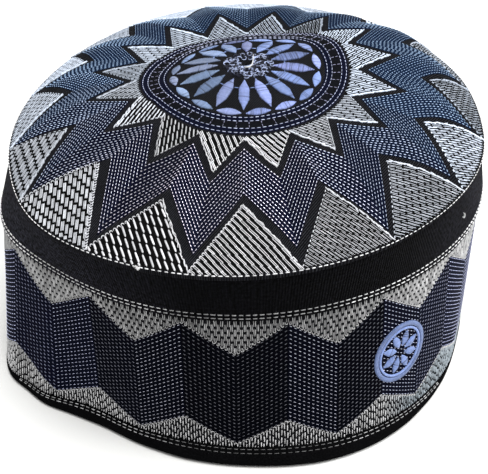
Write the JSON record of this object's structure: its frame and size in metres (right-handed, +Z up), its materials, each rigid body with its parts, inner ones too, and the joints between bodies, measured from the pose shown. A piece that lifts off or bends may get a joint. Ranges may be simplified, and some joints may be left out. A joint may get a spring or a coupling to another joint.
{
  "type": "kufi cap",
  "caption": "Round pillbox cap with a domed embroidered crown, a plain dark band under the crown seam, a stiff embroidered side wall and a rolled rim binding.",
  "frame": {"origin": "middle of the cap in plan, on the plane that its rim rests on", "axes": "+Z up from the rim to the crown, -Y to the front of the cap, +X to the right as seen from the front"},
  "size_m": [0.1912, 0.1972, 0.1134],
  "materials": {
    "crown": "black twill with dense slate-blue and silver thread embroidery, satin thread sheen",
    "top_band": "matt black brushed cloth",
    "side_wall": "stiff black cloth covered in silver-grey and navy running stitch",
    "rim_binding": "matt black rolled cloth binding"
  },
  "bodies": {
    "root": {"crown": "crown", "top_band": "top_band", "side_wall": "side_wall", "rim_binding": "rim_binding"}
  },
  "joints": []
}
